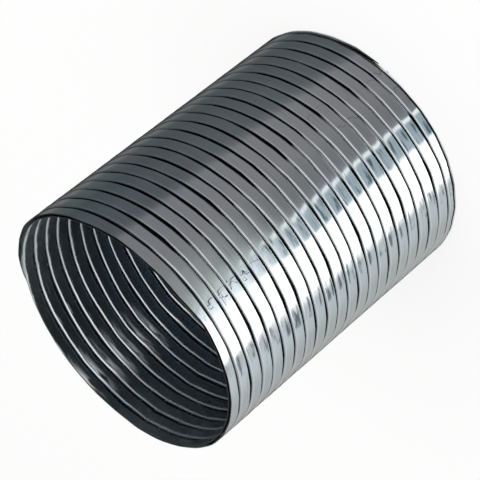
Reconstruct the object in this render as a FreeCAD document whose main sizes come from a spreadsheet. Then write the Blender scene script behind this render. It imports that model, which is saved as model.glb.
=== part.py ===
import FreeCAD, Part
import math
import os
import Sketcher

# Flexible exhaust pipe: a short length of strip-wound metal hose.
# One steel strip has both edges turned over at right angles, the outer one inward and the inner one outward.
# It is wound into a right-handed helix, each turn hooked over the lip of the turn before, and is sawn off at both ends.
# The mandrel it was wound on had many flats, so every turn is a ring of short straight flats, not a true circle.
# The pipe stands on its lower end with its axis on +Z, and the origin is the middle of that end.

# Driving sizes, in millimetres and degrees. groove_depth is how far the highest whole groove lies below the
# square upper end, turn_lean how much higher than its middle each turn lies at azimuth 0, and slant_drop how far
# below the square upper end the slanted cut crosses the axis.
SIZES = {
    "bore_across_flats": 102.0,
    "wall_height": 1.6,
    "strip_thickness": 0.4,
    "winding_pitch": 6.0,
    "groove_width": 0.95,
    "lip_clearance": 0.2,
    "flats_per_turn": 22,
    "pipe_length": 129.0,
    "groove_depth": 1.5,
    "turn_lean": 0.69,
    "slant_angle": 5.8,
    "slant_drop": 1.75,
    "slant_azimuth": -35.0,
    "saw_overrun": 5.0,
}

NODE = "wound_strip"


def make_sheet(doc):
    """The spreadsheet with one named cell for each driving size."""
    sheet = doc.addObject("Spreadsheet::Sheet", "sizes")
    for row, (name, value) in enumerate(SIZES.items(), start=1):
        sheet.set(f"A{row}", name)
        sheet.set(f"B{row}", str(value))
        sheet.setAlias(f"B{row}", name)
    doc.recompute()
    return sheet


def profile_corners(sheet):
    """The twelve corners of the strip's section, as sketch points in their order round the outline."""
    bore = sheet.bore_across_flats / 2
    outer = bore + sheet.wall_height
    thick = sheet.strip_thickness
    leg = sheet.winding_pitch - sheet.groove_width
    reach = thick + sheet.lip_clearance
    radii = [bore, outer - reach, bore + thick, outer, bore + reach, outer - thick]
    heights = [0, thick, leg - thick, 2 * leg - thick, 2 * (leg - thick), leg]
    corners = []
    for step, height in enumerate(heights):
        corners.append(FreeCAD.Vector(radii[step], height, 0))
        corners.append(FreeCAD.Vector(radii[(step + 1) % len(radii)], height, 0))
    return corners


def make_profile(doc, sheet):
    """The strip's section in the upright plane through the middle of a flat.

    Sketch X is the distance from the pipe's axis and sketch Y is the height. Even sides are radial and odd
    sides axial: lower lip, inner leg, web, outer leg and upper lip, then back along the other face of the strip.
    """
    sketch = doc.addObject("Sketcher::SketchObject", "strip_profile")
    sketch.Placement = FreeCAD.Placement(FreeCAD.Vector(), FreeCAD.Rotation(FreeCAD.Vector(1, 0, 0), 90))
    corners = profile_corners(sheet)
    count = len(corners)
    for side in range(count):
        sketch.addGeometry(Part.LineSegment(corners[side], corners[(side + 1) % count]), False)
    for side in range(count):
        sketch.addConstraint(Sketcher.Constraint("Coincident", side, 2, (side + 1) % count, 1))
        sketch.addConstraint(Sketcher.Constraint("Vertical" if side % 2 else "Horizontal", side))
    axes = -1
    sketch.addConstraint(Sketcher.Constraint("PointOnObject", 0, 1, axes))
    leg = "sizes.winding_pitch - sizes.groove_width"
    # name, direction, side measured from, side measured to, size
    dimensions = [
        ("bore_radius", "DistanceX", axes, 0, "sizes.bore_across_flats / 2"),
        ("wall_height", "DistanceX", 0, 5, "sizes.wall_height"),
        ("inner_leg_thickness", "DistanceX", 0, 3, "sizes.strip_thickness"),
        ("outer_leg_thickness", "DistanceX", 9, 5, "sizes.strip_thickness"),
        ("lower_lip_clearance", "DistanceX", 1, 9, "sizes.lip_clearance"),
        ("upper_lip_clearance", "DistanceX", 3, 7, "sizes.lip_clearance"),
        ("inner_leg_length", "DistanceY", 0, 10, leg),
        ("outer_leg_length", "DistanceY", 4, 6, leg),
        ("lower_lip_thickness", "DistanceY", 0, 2, "sizes.strip_thickness"),
        ("web_thickness", "DistanceY", 4, 10, "sizes.strip_thickness"),
        ("upper_lip_thickness", "DistanceY", 8, 6, "sizes.strip_thickness"),
    ]
    for name, kind, first, second, size in dimensions:
        start = sketch.getPoint(first, 1)
        end = sketch.getPoint(second, 1)
        value = end.x - start.x if kind == "DistanceX" else end.y - start.y
        index = sketch.addConstraint(Sketcher.Constraint(kind, first, 1, second, 1, value))
        sketch.renameConstraint(index, name)
        sketch.setExpression(f"Constraints.{name}", size)
    doc.recompute()
    return sketch


def wind(sketch, sheet):
    """The whole winding, longer than the pipe at both ends.

    The section is set round the axis at each corner between two flats, one flat's share of the pitch higher
    every time, and each side of it is drawn on straight to the next corner. A radial side comes out twisted,
    so it is two triangles. The turns are placed from the upper end, where the slanted cut meets the strip's end.
    """
    outline = [sketch.getPoint(side, 1) for side in range(sketch.GeometryCount)]
    count = len(outline)
    flats = max(3, round(sheet.flats_per_turn))
    turn = 2 * math.pi / flats
    rise = sheet.winding_pitch / flats
    corner_reach = 1 / math.cos(turn / 2)
    strip_top = max(point.y for point in outline)
    first_height = sheet.pipe_length - sheet.groove_depth - sheet.groove_width / 2 - strip_top
    strip_radius = max(point.x for point in outline) * corner_reach
    slant_top = sheet.pipe_length + strip_radius * math.tan(math.radians(sheet.slant_angle))
    lean = sheet.turn_lean
    lowest = -math.ceil((first_height + strip_top + abs(lean)) / rise) - 1
    highest = math.ceil((slant_top - first_height + abs(lean)) / rise) + 1

    def section_at(station):
        """The outline's corners at one station, counted in flats from azimuth 0."""
        angle = station * turn
        lift = first_height + station * rise + lean * math.cos(angle)
        across = FreeCAD.Vector(math.cos(angle), math.sin(angle), 0) * corner_reach
        return [across * point.x + FreeCAD.Vector(0, 0, point.y + lift) for point in outline]

    def flat_face(ring):
        """The plane face inside a ring of corners."""
        return Part.Face(Part.makePolygon(ring + ring[:1]))

    sections = [section_at(station) for station in range(lowest, highest + 1)]
    faces = [flat_face(sections[0]), flat_face(sections[-1])]
    for here, there in zip(sections, sections[1:]):
        for side in range(count):
            after = (side + 1) % count
            if side % 2:
                faces.append(flat_face([here[side], here[after], there[after], there[side]]))
            else:
                faces.append(flat_face([here[side], here[after], there[after]]))
                faces.append(flat_face([here[side], there[after], there[side]]))
    return Part.Solid(Part.Shell(faces))


def make_stock(doc, name, height):
    """A round bar wider than the winding, whose ends stand for the saw cuts."""
    stock = doc.addObject("Part::Cylinder", name)
    stock.setExpression("Radius", "sizes.bore_across_flats / 2 + sizes.wall_height + sizes.saw_overrun")
    stock.setExpression("Height", height)
    return stock


def slant_placement(sheet, depth):
    """Where the slanted bar goes, so that its upper end crosses the axis slant_drop below the square cut."""
    azimuth = math.radians(sheet.slant_azimuth)
    hinge = FreeCAD.Vector(math.sin(azimuth), -math.cos(azimuth), 0)
    tilt = FreeCAD.Rotation(hinge, sheet.slant_angle)
    crossing = FreeCAD.Vector(0, 0, sheet.pipe_length - sheet.slant_drop)
    return FreeCAD.Placement(crossing - tilt.multVec(FreeCAD.Vector(0, 0, depth)), tilt)


def make_pipe(doc, sheet):
    """The winding cut to length: square below, and above by one square and one slanted saw cut that meet."""
    winding = doc.addObject("Part::Feature", "winding")
    winding.Shape = wind(make_profile(doc, sheet), sheet)
    square_stock = make_stock(doc, "square_stock", "sizes.pipe_length")
    slant_stock = make_stock(doc, "slant_stock", "sizes.pipe_length / 2")
    slant_stock.Placement = slant_placement(sheet, sheet.pipe_length / 2)
    kept = doc.addObject("Part::Fuse", "kept_between_cuts")
    kept.Base = square_stock
    kept.Tool = slant_stock
    pipe = doc.addObject("Part::Common", NODE)
    pipe.Label = NODE
    pipe.Base = winding
    pipe.Tool = kept
    pipe.Refine = False
    doc.recompute()
    return pipe


def check(doc, pipe):
    """Stop if any object failed, or if the pipe isn't one sound solid."""
    for item in doc.Objects:
        if "Invalid" in item.State or "Error" in item.State:
            raise RuntimeError(f"{item.Label} failed: {item.State}")
    shape = pipe.Shape
    if shape.isNull() or not shape.isValid() or len(shape.Solids) != 1:
        raise RuntimeError(f"{pipe.Label} isn't one valid solid")


document = FreeCAD.newDocument("flexible_exhaust_pipe")
pipe = make_pipe(document, make_sheet(document))
check(document, pipe)
os.makedirs("parts", exist_ok=True)
pipe.Shape.exportStep(os.path.join("parts", f"{pipe.Label}.step"))
box = pipe.Shape.BoundBox
print(f"{pipe.Label}: {pipe.Shape.Volume:.1f} mm3, {len(pipe.Shape.Faces)} faces")
print(f"size {box.XLength:.2f} x {box.YLength:.2f} x {box.ZLength:.2f} mm, from z {box.ZMin:.3f}")
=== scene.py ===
"""Flexible exhaust pipe: a short, straight length of strip-wound steel hose, dressed for a studio picture.

One cold-rolled steel strip, both its edges folded over, is wound into a right-handed helix on a many-sided
mandrel. Every turn hooks over the lip of the turn before, and the hose is sawn off at both ends.
"""

import logging
import math
import random
from dataclasses import dataclass, field
from enum import Enum

import bmesh
import bpy
from mathutils import Matrix, Vector


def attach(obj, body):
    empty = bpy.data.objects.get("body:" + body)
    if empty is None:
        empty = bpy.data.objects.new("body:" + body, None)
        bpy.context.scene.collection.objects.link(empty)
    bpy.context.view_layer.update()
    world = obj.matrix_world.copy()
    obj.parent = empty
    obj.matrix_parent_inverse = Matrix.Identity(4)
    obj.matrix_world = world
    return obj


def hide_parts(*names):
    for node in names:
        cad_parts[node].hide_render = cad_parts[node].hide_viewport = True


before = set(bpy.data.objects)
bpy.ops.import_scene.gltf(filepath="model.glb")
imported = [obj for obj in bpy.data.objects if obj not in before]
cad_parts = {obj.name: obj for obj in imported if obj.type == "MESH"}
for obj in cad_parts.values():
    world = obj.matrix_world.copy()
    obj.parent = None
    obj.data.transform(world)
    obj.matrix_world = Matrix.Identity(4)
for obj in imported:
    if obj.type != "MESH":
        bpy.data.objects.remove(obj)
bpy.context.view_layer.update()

log = logging.getLogger("exhaust_pipe")

Tree = bpy.types.NodeTree
Socket = bpy.types.NodeSocket
Colour = tuple[float, float, float, float]

MM = 0.001
FULL_TURN = 2 * math.pi
FULL_TURN_DEGREES = 360.0
WHITE = (1.0, 1.0, 1.0, 1.0)

# Each point of the strip holds its way along the strip and across its section, in mm, and the degrees that
# it is wound round the hose, counted on from turn to turn. Each point of a painted sheet holds the numbers
# by which its paint is laid on.
STRIP_PLACE = "strip_place"
PAINT_PLACE = "paint_place"

# A Mix node's colour inputs and output, which share their names with others and so go by number.
UNDER_COLOUR = 6
OVER_COLOUR = 7
MIXED_COLOUR = 2

# Noise seldom leaves the numbers between these two.
NOISE_LOW = 0.3
NOISE_HIGH = 0.7


def linear(hex_colour: str) -> Colour:
    """Turn an sRGB hex colour into linear values, by the numbers of the sRGB standard.

    Args:
        hex_colour: Six hex digits, with or without the leading hash.

    Returns:
        Linear red, green, blue and an alpha of 1.
    """
    digits = hex_colour.lstrip("#")
    channels = [int(digits[place:place + 2], 16) / 255 for place in (0, 2, 4)]
    red, green, blue = [
        channel / 12.92 if channel <= 0.04045 else ((channel + 0.055) / 1.055) ** 2.4 for channel in channels
    ]
    return red, green, blue, 1.0


def add_node(tree: Tree, kind: str, inputs: dict | None = None, **settings: object) -> bpy.types.Node:
    """Add one node with its settings, values and links.

    Args:
        tree: The node tree that gets the node.
        kind: The node's type name.
        inputs: Value, or output socket to link from, for each input named or numbered.
        settings: The node's own properties.

    Returns:
        The new node.
    """
    node = tree.nodes.new(kind)
    for name, value in settings.items():
        setattr(node, name, value)
    for key, value in (inputs or {}).items():
        if isinstance(value, Socket):
            tree.links.new(value, node.inputs[key])
        else:
            node.inputs[key].default_value = value
    return node


def add_window(tree: Tree, number: Socket, span: tuple[float, float], softness: float) -> Socket:
    """Give 1 inside a span of numbers and 0 outside it, with soft ends.

    Args:
        tree: The node tree that gets the nodes.
        number: The number that is looked at.
        span: The numbers between which the window is open.
        softness: How far either side of an end the change is spread.

    Returns:
        The window's openness.
    """
    low, high = span
    rising = add_node(tree, "ShaderNodeMapRange",
                      {"Value": number, "From Min": low - softness, "From Max": low + softness})
    falling = add_node(tree, "ShaderNodeMapRange",
                       {"Value": number, "From Min": high - softness, "From Max": high + softness,
                        "To Min": 1.0, "To Max": 0.0})
    both = add_node(tree, "ShaderNodeMath", {0: rising.outputs[0], 1: falling.outputs[0]},
                    operation="MULTIPLY")
    return both.outputs[0]


def add_streaks(tree: Tree, place: Socket, length_mm: float, width_mm: float, detail: float) -> Socket:
    """Give a cloudy pattern that is drawn out along the strip.

    Args:
        tree: The node tree that gets the nodes.
        place: The place on the strip.
        length_mm: How long the streaks are.
        width_mm: How wide they are.
        detail: How many times finer streaks are laid into them.

    Returns:
        The pattern's number, between 0 and 1.
    """
    drawn_out = add_node(tree, "ShaderNodeVectorMath", {0: place, 1: (1 / length_mm, 1 / width_mm, 0.0)},
                         operation="MULTIPLY")
    streaks = add_node(tree, "ShaderNodeTexNoise",
                       {"Vector": drawn_out.outputs[0], "Scale": 1.0, "Detail": detail})
    return streaks.outputs[0]


def add_overlay(tree: Tree, under: Socket | Colour, over: str, *shares: Socket | float) -> Socket:
    """Lay a colour over another one, where all of its shares are above 0.

    Args:
        tree: The node tree that gets the nodes.
        under: The colour that lies there already.
        over: The hex colour that is laid over it.
        shares: How far it covers, each from 0 to 1.

    Returns:
        The colour that shows.
    """
    share = shares[0]
    for other in shares[1:]:
        share = add_node(tree, "ShaderNodeMath", {0: share, 1: other}, operation="MULTIPLY").outputs[0]
    shown = add_node(tree, "ShaderNodeMix",
                     {"Factor": share, UNDER_COLOUR: under, OVER_COLOUR: linear(over)}, data_type="RGBA")
    return shown.outputs[MIXED_COLOUR]


def direction(azimuth: float) -> Vector:
    """Give the level unit vector at an azimuth in radians."""
    return Vector((math.cos(azimuth), math.sin(azimuth), 0))


class Zone(Enum):
    """The parts of the strip's surface that look different, in the order of their material slots."""

    OUTSIDE = 0
    OUTER_EDGE = 1
    FOLD = 2
    GROOVE_FLOOR = 3
    WEB_EDGE = 4
    WEB = 5
    INSIDE = 6
    INNER_EDGE = 7
    SAWN = 8


class SteelSurface:
    """A new metal material and the nodes that every finish of the hose starts from."""

    def __init__(self, name: str) -> None:
        """Make the material, all metal and still plain.

        Args:
            name: The material's name.
        """
        self.material = bpy.data.materials.new(name)
        self.material.use_nodes = True
        self.tree = self.material.node_tree
        self.shader = self.tree.nodes["Principled BSDF"]
        self.shader.inputs["Metallic"].default_value = 1.0
        self.place = add_node(self.tree, "ShaderNodeAttribute", attribute_name=STRIP_PLACE).outputs["Vector"]

    def across_and_wound(self) -> tuple[Socket, Socket]:
        """Give the way across the strip's section in mm, and the degrees wound round the hose."""
        apart = add_node(self.tree, "ShaderNodeSeparateXYZ", {0: self.place})
        return apart.outputs[1], apart.outputs[2]

    def turn(self, wound: Socket) -> Socket:
        """Give the turn that a point lies on, with its fraction, counted from the foot."""
        turns = add_node(self.tree, "ShaderNodeMath", {0: wound, 1: FULL_TURN_DEGREES}, operation="DIVIDE")
        return turns.outputs[0]

    def azimuth(self, wound: Socket, lowest: float) -> Socket:
        """Give wound degrees as an azimuth, within the full turn that starts at the lowest one."""
        limits = {1: lowest + FULL_TURN_DEGREES, 2: lowest}
        return add_node(self.tree, "ShaderNodeMath", {0: wound, **limits}, operation="WRAP").outputs[0]

    def set_input(self, name: str, value: Socket) -> None:
        """Link a socket to one of the shader's inputs."""
        self.tree.links.new(value, self.shader.inputs[name])

    def roughen(self, roughness: float, pattern: Socket, unevenness: float = 0.2) -> None:
        """Make the surface rough, a little more in some places than in others.

        Args:
            roughness: The roughness in the middle.
            pattern: The pattern that raises and lowers it, between 0 and 1.
            unevenness: The share by which it rises and falls.
        """
        uneven = add_node(self.tree, "ShaderNodeMapRange",
                          {"Value": pattern, "To Min": roughness * (1 - unevenness),
                           "To Max": roughness * (1 + unevenness)})
        self.set_input("Roughness", uneven.outputs[0])


@dataclass(frozen=True)
class Smudge:
    """Dark smudges drawn along the turns on one side of the hose, by azimuths in degrees and by turns."""

    azimuths: tuple[float, float]
    turns: tuple[float, float]
    width_mm: float = 2.0
    length_mm: float = 10.0
    # the number of the streaky pattern up to which the side stays clean, and how much more makes it dark
    clean: float = 0.50
    fading: float = 0.14


@dataclass(frozen=True)
class Scribble:
    """A dark hairline scratched across the turns, by its azimuth and its turns.

    Its stray to either side and its width are in degrees too. The width comes to 0.27 mm, about three times
    a real one's, or it would be too fine to show.
    """

    azimuth: float
    turns: tuple[float, float]
    stray: float = 1.2
    share: float = 0.9
    width: float = 0.3
    stray_length_mm: float = 3.2


@dataclass(frozen=True)
class RolledStripSteel:
    """Cold-rolled stainless steel strip, as it leaves the polished rolls.

    The rolls leave it bright and a little wavy, so it mirrors the studio in stripes with soft edges. The
    winding machine draws fine dark scratches along it, which show as broken hairlines. Handling leaves a
    faint film that tints it here and there, and dark smudges.
    """

    name: str = "cold_rolled_stainless_strip"
    colour: str = "c9caca"
    film_colour: str = "c1c2c4"
    film_patch_mm: float = 22.0
    roughness: float = 0.12
    scratch_colour: str = "54585b"
    # real scratches are some hundredths of a millimetre wide, too fine to show, and are drawn this coarse
    scratch_width_mm: float = 0.45
    scratch_length_mm: float = 16.0
    scratch_share: float = 0.5
    # the numbers of the streaky pattern at which a scratch starts and is full
    scratch_starts: float = 0.62
    scratch_full: float = 0.76
    smudge_colour: str = "59646a"
    smudge_share: float = 0.9
    smudges: tuple[Smudge, ...] = (
        Smudge((-107.0, -98.0), (-2.0, 16.5)),
        Smudge((-107.5, -101.5), (16.5, 22.0), width_mm=0.5, length_mm=7.0, clean=0.60),
        Smudge((-137.0, -127.0), (-2.0, 23.0)),
    )
    scribble_colour: str = "14181b"
    scribbles: tuple[Scribble, ...] = (
        Scribble(-101.6, (15.8, 21.4)),
        Scribble(-101.9, (16.8, 21.4), stray=2.6),
        Scribble(-74.0, (0.6, 2.4), share=0.5),
        Scribble(-84.0, (0.2, 1.6), share=0.5),
        Scribble(-70.0, (5.2, 6.9), share=0.5),
        Scribble(-82.0, (4.2, 6.3), share=0.5),
    )
    # how far apart in the noise the scribbles are taken from, so that no two stray alike
    scribbles_apart: float = 40.0
    wave_length_mm: float = 14.0
    wave_depth_mm: float = 0.006
    # azimuths are counted within the full turn that starts at this one
    lowest_azimuth: float = -270.0

    def material(self) -> bpy.types.Material:
        """Build the material."""
        return self._surface().material

    def _surface(self) -> SteelSurface:
        """Build the whole surface.

        Returns:
            The surface, with its colour, roughness and waves linked to the shader.
        """
        surface = SteelSurface(self.name)
        tree = surface.tree
        patches = add_node(tree, "ShaderNodeTexNoise",
                           {"Vector": surface.place, "Scale": 1 / self.film_patch_mm, "Detail": 2.0})
        filmed = add_overlay(tree, linear(self.colour), self.film_colour, patches.outputs[0])
        lines = add_streaks(tree, surface.place, self.scratch_length_mm, self.scratch_width_mm, detail=2.0)
        scratches = add_node(tree, "ShaderNodeMapRange",
                             {"Value": lines, "From Min": self.scratch_starts, "From Max": self.scratch_full,
                              "To Max": self.scratch_share})
        scratched = add_overlay(tree, filmed, self.scratch_colour, scratches.outputs[0])
        wound = surface.across_and_wound()[1]
        azimuth = surface.azimuth(wound, self.lowest_azimuth)
        turn = surface.turn(wound)
        smudged = self._smudged(surface, scratched, azimuth, turn)
        surface.set_input("Base Color", self._scribbled(surface, smudged, azimuth, turn))
        surface.roughen(self.roughness, lines)
        waves = add_node(tree, "ShaderNodeTexNoise",
                         {"Vector": surface.place, "Scale": 1 / self.wave_length_mm, "Detail": 1.0})
        wavy = add_node(tree, "ShaderNodeBump",
                        {"Height": waves.outputs[0], "Distance": self.wave_depth_mm * MM, "Strength": 1.0})
        surface.set_input("Normal", wavy.outputs[0])
        return surface

    def _smudged(self, surface: SteelSurface, colour: Socket, azimuth: Socket, turn: Socket) -> Socket:
        """Draw the smudges over the surface's colour.

        Args:
            surface: The surface.
            colour: Its colour so far.
            azimuth: Each point's azimuth.
            turn: Each point's turn.

        Returns:
            The colour with the smudges.
        """
        tree = surface.tree
        side_softness, turn_softness = 1.0, 0.3
        for smudge in self.smudges:
            cloud = add_streaks(tree, surface.place, smudge.length_mm, smudge.width_mm, detail=3.0)
            dark = add_node(tree, "ShaderNodeMapRange",
                            {"Value": cloud, "From Min": smudge.clean,
                             "From Max": smudge.clean + smudge.fading, "To Max": self.smudge_share})
            colour = add_overlay(tree, colour, self.smudge_colour, dark.outputs[0],
                                 add_window(tree, azimuth, smudge.azimuths, side_softness),
                                 add_window(tree, turn, smudge.turns, turn_softness))
        return colour

    def _scribbled(self, surface: SteelSurface, colour: Socket, azimuth: Socket, turn: Socket) -> Socket:
        """Draw the scribbles over the surface's colour.

        Args:
            surface: The surface.
            colour: Its colour so far.
            azimuth: Each point's azimuth.
            turn: Each point's turn.

        Returns:
            The colour with the scribbles.
        """
        tree = surface.tree
        side_softness, turn_softness = 0.1, 0.05
        for number, scribble in enumerate(self.scribbles):
            scale = 1 / scribble.stray_length_mm
            apart = self.scribbles_apart * number
            moved = add_node(tree, "ShaderNodeVectorMath",
                             {0: surface.place, 1: (scale, scale, 0.0), 2: (0.0, apart, 0.0)},
                             operation="MULTIPLY_ADD")
            sway = add_node(tree, "ShaderNodeTexNoise",
                            {"Vector": moved.outputs[0], "Scale": 1.0, "Detail": 0.0})
            aside = add_node(tree, "ShaderNodeMapRange",
                             {"Value": sway.outputs[0], "From Min": NOISE_LOW, "From Max": NOISE_HIGH,
                              "To Min": -scribble.stray, "To Max": scribble.stray})
            strayed = add_node(tree, "ShaderNodeMath", {0: azimuth, 1: aside.outputs[0]})
            span = (scribble.azimuth - scribble.width / 2, scribble.azimuth + scribble.width / 2)
            colour = add_overlay(tree, colour, self.scribble_colour, scribble.share,
                                 add_window(tree, strayed.outputs[0], span, side_softness),
                                 add_window(tree, turn, scribble.turns, turn_softness))
        return colour


@dataclass(frozen=True)
class PaintedHighlight:
    """A stretch of the bore that gets painted highlights, laid on as pale matt streaks, by azimuths in
    degrees and by turns.

    Its softness at the sides is in degrees, and its fullness is added to the streaky pattern.
    """

    azimuths: tuple[float, float]
    turns: tuple[float, float]
    softness: float
    fullness: float


@dataclass(frozen=True)
class BoreSteelWithPaintedShadeAndHighlights(RolledStripSteel):
    """The same strip inside the bore, painted a little darker and bluer as shade, with painted highlights
    laid on as pale matt streaks.

    The clean strip mirrors only the dark of the bore. The streaks no longer do, and catch the light that
    falls in at the mouth.
    """

    name: str = "cold_rolled_stainless_rubbed_in_the_bore"
    # the bore's steel is painted a little darker and bluer than the strip's outside, as shade
    colour: str = "bcc4ca"
    film_colour: str = "a4b0b2"
    roughness: float = 0.22
    scratch_share: float = 0.25
    smudges: tuple[Smudge, ...] = ()
    scribbles: tuple[Scribble, ...] = ()
    wave_depth_mm: float = 0.004
    lowest_azimuth: float = -90.0
    # painted highlights: a near-white, matt colour where the bore catches light
    highlight_colour: str = "f4f8fc"
    highlight_roughness: float = 0.6
    highlight_width_mm: float = 1.3
    highlight_length_mm: float = 11.0
    # how far a painted highlight reaches down from the bend over each turn's inner leg, and how softly it
    # ends there
    highlight_reach_mm: float = 1.5
    highlight_reach_softness_mm: float = 0.9
    # the numbers of the streaky pattern at which a painted highlight of no fullness starts and is full
    highlight_starts: float = 0.54
    highlight_full: float = 0.68
    painted_highlights: tuple[PaintedHighlight, ...] = (
        PaintedHighlight((89.0, 103.0), (15.5, 22.5), softness=7.0, fullness=0.16),
        PaintedHighlight((50.0, 75.0), (18.5, 22.5), softness=9.0, fullness=-0.09),
        PaintedHighlight((-8.0, 28.0), (22.7, 24.0), softness=3.0, fullness=0.5),
    )

    def _surface(self) -> SteelSurface:
        """Build the whole surface and lay the painted highlights over it.

        Returns:
            The surface.
        """
        surface = super()._surface()
        tree = surface.tree
        # painted highlights: pale matt streaks laid over the bore
        highlighted = self._highlighted(surface)
        # the roughness goes through a colour mix too, so it stands there three times
        highlight_finish = {"Base Color": linear(self.highlight_colour), "Roughness": (self.highlight_roughness,) * 3 + (1.0,)}
        for name, value in highlight_finish.items():
            fresh = surface.shader.inputs[name].links[0].from_socket
            mixed = add_node(tree, "ShaderNodeMix",
                             {"Factor": highlighted, UNDER_COLOUR: fresh, OVER_COLOUR: value}, data_type="RGBA")
            surface.set_input(name, mixed.outputs[MIXED_COLOUR])
        # a painted highlight streak is matt, so it scatters light to all sides, as bare metal does not
        metal = add_node(tree, "ShaderNodeMapRange", {"Value": highlighted, "To Min": 1.0, "To Max": 0.0})
        surface.set_input("Metallic", metal.outputs[0])
        return surface

    def _highlighted(self, surface: SteelSurface) -> Socket:
        """Find where the bore gets its painted highlights.

        Args:
            surface: The surface.

        Returns:
            How far each point is highlighted, from 0 to 1.
        """
        tree = surface.tree
        across, wound = surface.across_and_wound()
        azimuth = surface.azimuth(wound, self.lowest_azimuth)
        turn = surface.turn(wound)
        cloud = add_streaks(tree, surface.place, self.highlight_length_mm, self.highlight_width_mm, detail=3.0)
        turn_softness = 0.15
        most = 0.0
        for highlight in self.painted_highlights:
            streaks = add_node(tree, "ShaderNodeMapRange",
                               {"Value": cloud, "From Min": self.highlight_starts - highlight.fullness,
                                "From Max": self.highlight_full - highlight.fullness})
            side = add_window(tree, azimuth, highlight.azimuths, highlight.softness)
            depth = add_window(tree, turn, highlight.turns, turn_softness)
            here = add_node(tree, "ShaderNodeMath", {0: side, 1: depth}, operation="MULTIPLY")
            highlighted = add_node(tree, "ShaderNodeMath", {0: streaks.outputs[0], 1: here.outputs[0]},
                              operation="MULTIPLY")
            so_far = add_node(tree, "ShaderNodeMath", {0: most, 1: highlighted.outputs[0]}, operation="MAXIMUM")
            most = so_far.outputs[0]
        # the way across the section at which the bend ends and the inner leg's straight part starts
        bend = next(point.travelled for point in StripSection().outline() if point.zone is Zone.INSIDE)
        under_bend = add_window(tree, across, (bend - self.highlight_reach_mm, bend + self.highlight_reach_mm),
                                self.highlight_reach_softness_mm)
        return add_node(tree, "ShaderNodeMath", {0: most, 1: under_bend}, operation="MULTIPLY").outputs[0]


@dataclass(frozen=True)
class PlainSteel:
    """Steel strip on which no rolling lines show, such as a fold, a rolled bend or a sawn end."""

    name: str
    colour: str
    roughness: float
    patch_mm: float = 4.0

    def material(self) -> bpy.types.Material:
        """Build the material.

        Returns:
            The new material.
        """
        surface = SteelSurface(self.name)
        surface.shader.inputs["Base Color"].default_value = linear(self.colour)
        cloud = add_node(surface.tree, "ShaderNodeTexNoise",
                         {"Vector": surface.place, "Scale": 1 / self.patch_mm, "Detail": 3.0})
        surface.roughen(self.roughness, cloud.outputs[0])
        return surface.material


@dataclass(frozen=True)
class FoldSteelWithPaintedShade:
    """The folded strip inside the grooves, painted dark as the shade deep in the folds.

    The painted shade makes the grooves black. It is left off along one side of the hose, a little further on
    some turns than on others, and there the grooves look pale and narrow.
    """

    name: str
    # the dark colour painted in as shade, and the steel's own colour where that shade is left off
    painted_shade_colour: str = "26292b"
    unshaded_colour: str = "c4c6c8"
    roughness: float = 0.25
    unshaded_azimuths: tuple[float, float] = (-98.5, -77.0)
    # the turn, counted from the foot, from which the painted shade is left off, and the turns over which
    # leaving it off fades out. The hose has 22 turns, so as given it doesn't fade.
    unshaded_from: float = 0.4
    unshaded_turns: tuple[float, float] = (30.0, 31.0)
    # how far the unshaded side moves back round the hose on each turn, and the turn on which it stands as
    # given
    unshaded_slant: float = 0.35
    middle_turn: float = 10.6
    unshaded_softness: float = 1.5
    unshaded_stray: float = 2.5
    stray_patch_mm: float = 9.0
    # the turn from which the painted shade is a lighter grey, where the fold lies open. As given, that is
    # nowhere.
    open_fold_from: float = 40.0
    open_fold_shade_colour: str = "74787b"
    # azimuths are counted within the full turn that starts at this one
    lowest_azimuth: float = -270.0

    def material(self) -> bpy.types.Material:
        """Build the material.

        Returns:
            The new material.
        """
        surface = SteelSurface(self.name)
        tree = surface.tree
        surface.shader.inputs["Roughness"].default_value = self.roughness
        wound = surface.across_and_wound()[1]
        lowest, highest = (turn * FULL_TURN_DEGREES for turn in self.unshaded_turns)
        fading = add_node(tree, "ShaderNodeMapRange",
                          {"Value": wound, "From Min": lowest, "From Max": highest,
                           "To Min": 1.0, "To Max": 0.0})
        begun = add_node(tree, "ShaderNodeMath", {0: wound, 1: self.unshaded_from * FULL_TURN_DEGREES},
                         operation="GREATER_THAN")
        # painted shade: dark steel in the folds, left off on one side of the hose
        shaded = add_overlay(tree, linear(self.painted_shade_colour), self.unshaded_colour,
                            self._unshaded_side(surface, wound), begun.outputs[0], fading.outputs[0])
        # a lighter painted shade where the last fold lies open at the mouth
        open_fold = add_node(tree, "ShaderNodeMath", {0: wound, 1: self.open_fold_from * FULL_TURN_DEGREES},
                         operation="GREATER_THAN")
        surface.set_input("Base Color", add_overlay(tree, shaded, self.open_fold_shade_colour, open_fold.outputs[0]))
        return surface.material

    def _unshaded_side(self, surface: SteelSurface, wound: Socket) -> Socket:
        """Find the side of the hose on which the folds have no painted shade.

        Args:
            surface: The surface.
            wound: The degrees that each point is wound.

        Returns:
            1 on the side without painted shade and 0 elsewhere, with soft ends that stray from turn to turn.
        """
        tree = surface.tree
        cloud = add_node(tree, "ShaderNodeTexNoise",
                         {"Vector": surface.place, "Scale": 1 / self.stray_patch_mm, "Detail": 1.0})
        aside = add_node(tree, "ShaderNodeMapRange",
                         {"Value": cloud.outputs[0], "From Min": NOISE_LOW, "From Max": NOISE_HIGH,
                          "To Min": -self.unshaded_stray, "To Max": self.unshaded_stray})
        slanted = add_node(tree, "ShaderNodeMath",
                           {0: wound, 1: 1 + self.unshaded_slant / FULL_TURN_DEGREES,
                            2: -self.unshaded_slant * self.middle_turn}, operation="MULTIPLY_ADD")
        strayed = add_node(tree, "ShaderNodeMath", {0: slanted.outputs[0], 1: aside.outputs[0]})
        azimuth = surface.azimuth(strayed.outputs[0], self.lowest_azimuth)
        return add_window(tree, azimuth, self.unshaded_azimuths, self.unshaded_softness)


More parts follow.
